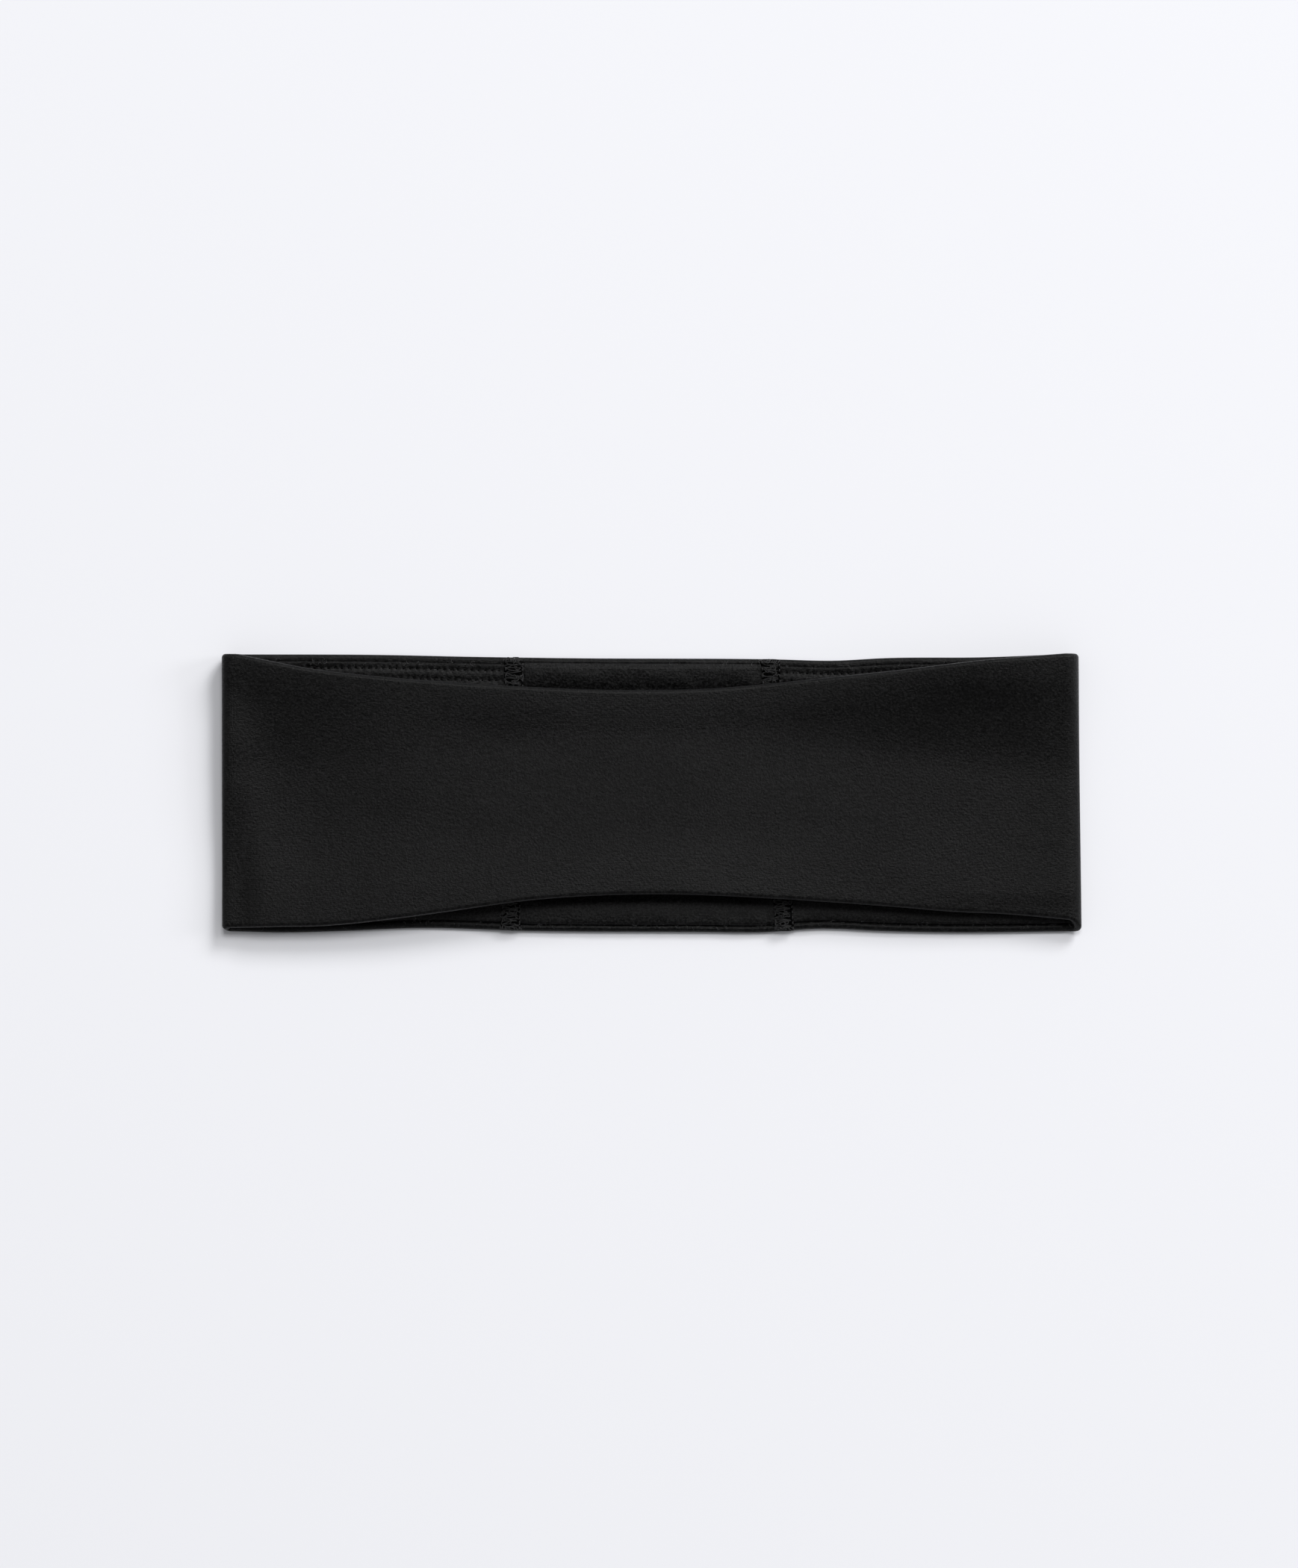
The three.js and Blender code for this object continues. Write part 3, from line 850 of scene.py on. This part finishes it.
SEAM_HALF_WIDTH = 2.75  # of the raw edges
SEAM_RISE = 0.8  # of their middle above the cloth
LOOP_REACH = 2.6  # from the middle to the last raw edge that a loop lies on
LOOPER_RADIUS = 0.15
NEEDLE_RADIUS = 0.19
LOOP_PITCH = 1.7  # of the looper threads
SLACK_LOOPS = 170  # in each seam
END_LOOPS = 9  # over each end
NEEDLE_LINES = ((2.45, 1.5, 0.45), (-2.3, 1.9, 0.5))  # X, pitch, and the share of it in thread


class Seam:
    """An overlocked seam: its line across the band and the height of its lumpy back."""

    def __init__(self, name, line, seed):
        self.name, self.line = name, line
        self.top = HALF_HEIGHT - BACK_TOP(line[1] / FOLD_CENTRE)
        self.bottom = -HALF_HEIGHT + BACK_BOTTOM(line[0] / FOLD_CENTRE)
        self.rng = np.random.default_rng(seed)
        self.lump = waves(seed + 10, 2.0)

    def centre(self, y):
        return self.line[0] + (self.line[1] - self.line[0]) * (y - self.bottom) / (self.top - self.bottom)

    def ground(self, y):
        """Height of the cloth under the seam."""
        inset = np.minimum(y - self.bottom, self.top - y)
        drop = np.clip(1 - inset / 1.1, 0, 1) ** 2
        return thickness(inset) - drop

    def crown(self, x, y):
        """Height of the seam's back at x across it."""
        across = np.clip(1 - (np.abs(x) / SEAM_HALF_WIDTH) ** 2.4, 0, 1)
        ends = np.sqrt(np.clip(np.minimum(y - self.bottom, self.top - y) + 0.2, 0.02, 3) / 3)
        lumps = 0.18 * self.lump(x * 3, y) + 0.1 * self.lump(y * 2.3, x * 2)
        return self.ground(y) + 0.05 + (SEAM_RISE + lumps) * across * ends

    def raw_edges(self):
        y = steps(self.bottom + 0.15, self.top - 0.15, 0.5)
        x = np.linspace(-SEAM_HALF_WIDTH, SEAM_HALF_WIDTH, 16)
        gx, gy = np.meshgrid(x, y)
        over = np.stack([gx + self.centre(gy), gy, self.crown(gx, gy)], -1)
        under = np.stack([gx * 0.98 + self.centre(gy), gy, self.ground(gy) - 0.1], -1)
        under[..., 2] = np.minimum(under[..., 2], over[..., 2] - 0.05)
        points = np.concatenate([over, under[:, ::-1]], 1)
        flat = points.reshape(-1, 3)
        # the pad's near-black jersey is painted shade between the loops
        pad = new_object(f"{self.name}_seam_edges", flat, skin(points), [("knit", flat * [1, 1, 0])])
        dress(pad, RAW_EDGE_SHADE_KNIT, "seam_jersey", f"{self.name}_seam_allowance")

    def crossing_loops(self, tubes):
        """Looper threads that cross the raw edges and wrap round them."""
        rng = self.rng
        for k in range(int((self.top - self.bottom) / LOOP_PITCH) + 1):
            y0 = self.bottom + 0.3 + k * LOOP_PITCH + rng.uniform(-0.25, 0.25)
            for lean in (1.0, -0.8):
                t = np.linspace(0, 1, 15)
                x = 1.9 - 4.5 * np.sin(math.pi * t) ** 0.8 * (1 if lean > 0 else 0.93)
                x = x + 0.15 * np.sin(9 * t + rng.uniform(0, 6))
                sway = 0.35 * np.sin(2 * math.pi * t + rng.uniform(0, 6))
                y = y0 + lean * LOOP_PITCH * (t - 0.5) + sway
                y = np.clip(y, self.bottom + 0.1, self.top - 0.1)
                z = self.crown(np.clip(x, -LOOP_REACH, LOOP_REACH), y) + 0.3 + 0.2 * rng.random()
                z = z + 0.12 * np.sin(14 * t)
                tubes.add(np.stack([x + self.centre(y), y, z], 1), LOOPER_RADIUS)

    def slack_loops(self, tubes):
        """Loops that stand up out of the seam."""
        rng = self.rng
        for _ in range(SLACK_LOOPS):
            y0 = rng.uniform(self.bottom - 0.1, self.top + 0.1)
            x0 = rng.uniform(-2.5, 2.2)
            radius = rng.uniform(0.35, 0.8)
            turn = rng.uniform(0, 2 * math.pi)
            tilt = rng.uniform(0.2, 1.0)
            t = np.linspace(0, rng.uniform(2.6, 4.6), 11)
            x = x0 + radius * np.cos(t + turn)
            y = np.clip(y0 + radius * np.sin(t + turn), self.bottom, self.top)
            lift = 0.35 + 0.45 * tilt * (1 + np.sin(t)) * radius
            z = self.crown(np.clip(x, -LOOP_REACH, LOOP_REACH), y) + lift
            tubes.add(np.stack([x + self.centre(y), y, z], 1), rng.uniform(0.11, 0.17))

    def end_loops(self, tubes):
        """Loops that fan out over each end."""
        rng = self.rng
        for end, way in ((self.bottom, -1), (self.top, 1)):
            for k in range(END_LOOPS):
                x0 = -2.5 + 0.6 * k + rng.uniform(-0.15, 0.15)
                reach = rng.uniform(0.1, 0.45)
                lean = 0.35 * (x0 / 2.5) + rng.uniform(-0.3, 0.3)
                t = np.linspace(0, math.pi, 11)
                y = end + way * (reach * np.sin(t) - 0.9 + 0.3 * np.cos(t))
                x = x0 + 0.28 * np.cos(t) + lean * np.sin(t)
                inner = np.clip(y, self.bottom + 0.2, self.top - 0.2)
                z = self.crown(np.clip(x, -2.5, 2.5), inner) + 0.42
                z = z - 0.9 * np.clip(np.abs(y - inner), 0, 1)
                path = np.stack([x + self.centre(inner), y, np.maximum(z, 0.3)], 1)
                tubes.add(path, rng.uniform(0.15, 0.2))

    def loops(self):
        tubes = Tubes(6)
        self.crossing_loops(tubes)
        self.slack_loops(tubes)
        self.end_loops(tubes)
        dress(tubes.object(f"{self.name}_overlock_loops"), FLUFFY, "thread", f"{self.name}_overlock_thread")

    def needle_stitches(self):
        """Straight stitches beside the loops."""
        tubes = Tubes(7)
        for x0, pitch, share in NEEDLE_LINES:
            for k in range(int((self.top - self.bottom - 0.6) / pitch)):
                t = np.linspace(0, 1, 8)
                y = self.bottom + 0.5 + (k + share * t) * pitch
                z = self.crown(np.full(len(y), 2.3), y) + 0.2 + 0.34 * np.sin(math.pi * t)
                x = x0 + self.centre(y) + 0.12 * (t - 0.5)
                tubes.add(np.stack([x, y, z], 1), NEEDLE_RADIUS)
        node = f"{self.name}_seam_needle_thread"
        dress(tubes.object(f"{self.name}_needle_stitches"), SEWING, "thread", node)


for seam in (Seam("left", LEFT_SEAM, 41), Seam("right", RIGHT_SEAM, 43)):
    seam.raw_edges()
    seam.loops()
    seam.needle_stitches()

# ---- loose fibres along the grooves and edges ----

LINT_COUNT = 420


def lint():
    tubes = Tubes(3)
    rng = np.random.default_rng(61)
    for _ in range(LINT_COUNT):
        part = panel if rng.random() < 0.8 else back
        k = rng.integers(2, len(part.s) - 2)
        sign = 1 if rng.random() < 0.4 else -1
        inset = sign * rng.uniform(1.5, 2.6)
        start = along_band(cut(part, slice(k, k + 1)), inset, [HEM - 0.1])[0]
        length, turn = rng.uniform(0.4, 1.3), rng.uniform(0, 2 * math.pi)
        t = np.linspace(0, 1, 6)
        bend = rng.uniform(-2.5, 2.5)
        outward = part.normal[k]
        x = start[0] + length * t * np.cos(turn + bend * t)
        y = start[1] + length * t * np.sin(turn + bend * t)
        rise = 0.25 * np.sin(math.pi * t) * rng.uniform(0.4, 1.4)
        z = start[2] - outward[1] * rise - outward[1] * 0.15
        x = x - outward[0] * rise
        tubes.add(np.stack([x, y, z], 1), rng.uniform(0.02, 0.035))
    dress(tubes.object("lint_fibres"), LINT, "thread")


lint()

# ---- floor, light and camera ----

FLOOR_REACH = 3  # metres from the middle
floor_mesh = bpy.data.meshes.new("floor")
corners = [(x * FLOOR_REACH, y * FLOOR_REACH, 0) for x, y in ((-1, -1), (1, -1), (1, 1), (-1, 1))]
floor_mesh.from_pydata(corners, [], [(0, 1, 2, 3)])
floor = bpy.data.objects.new("floor", floor_mesh)
bpy.context.scene.collection.objects.link(floor)
floor_material, _, floor_shader = nodes_of("pale_floor")
floor_shader.inputs["Base Color"].default_value = (0.86, 0.865, 0.9, 1)
floor_shader.inputs["Roughness"].default_value = 0.9
floor_shader.inputs["Specular IOR Level"].default_value = 0.0
floor_mesh.materials.append(floor_material)

scene = bpy.context.scene
scene.view_settings.view_transform = "Standard"
scene.view_settings.look = "None"
world = bpy.data.worlds.new("studio")
world.use_nodes = True
world.node_tree.nodes["Background"].inputs["Color"].default_value = (0.985, 0.99, 1.0, 1)
world.node_tree.nodes["Background"].inputs["Strength"].default_value = 0.24
scene.world = world

LIGHT_DISTANCE = 8  # metres from the middle
LIGHT_SIZE = 2.3
LIGHT_POWER = 400  # watts for a share of 1 from overhead


def softbox(name, azimuth, elevation, share):
    """A large square light aimed at the middle; share is what it gives the floor."""
    light = bpy.data.lights.new(name, "AREA")
    light.shape = "SQUARE"
    light.size = LIGHT_SIZE
    turn, rise = math.radians(azimuth), math.radians(elevation)
    light.energy = LIGHT_POWER * share / math.sin(rise)
    obj = bpy.data.objects.new(name, light)
    way = (math.cos(rise) * math.cos(turn), math.cos(rise) * math.sin(turn), math.sin(rise))
    obj.location = [LIGHT_DISTANCE * v for v in way]
    bpy.context.scene.collection.objects.link(obj)
    obj.rotation_euler = obj.location.copy().to_track_quat("Z", "Y").to_euler()


softbox("low_right", 12, 24, 0.11)
softbox("right_corner", 45, 30, 0.13)
softbox("right_high", 45, 50, 0.19)
softbox("behind_right", 60, 35, 0.42)
softbox("behind_high", 85, 65, 0.45)

camera_data = bpy.data.cameras.new("camera")
camera = bpy.data.objects.new("camera", camera_data)
bpy.context.scene.collection.objects.link(camera)
scene.camera = camera
VIEW_PLANE = 0.004  # height of the plane that the view is sized for; these four are in metres
VIEW_DISTANCE = 1.6  # from that plane to the camera
VIEW_HEIGHT = 0.4378  # seen in that plane from bottom to top
VIEW_OFFSET = (-0.00081, 0.00261)  # from the loop's middle
SENSOR = 36
camera_data.sensor_fit = "AUTO"
camera_data.sensor_width = SENSOR
camera_data.lens = SENSOR / 2 / (VIEW_HEIGHT / 2 / VIEW_DISTANCE)
centre_x, centre_y = (CAD_LOW.x + CAD_HIGH.x) / 2, (CAD_LOW.y + CAD_HIGH.y) / 2
camera.location = (centre_x + VIEW_OFFSET[0], centre_y + VIEW_OFFSET[1], VIEW_DISTANCE + VIEW_PLANE)
camera.rotation_euler = (0, 0, 0)
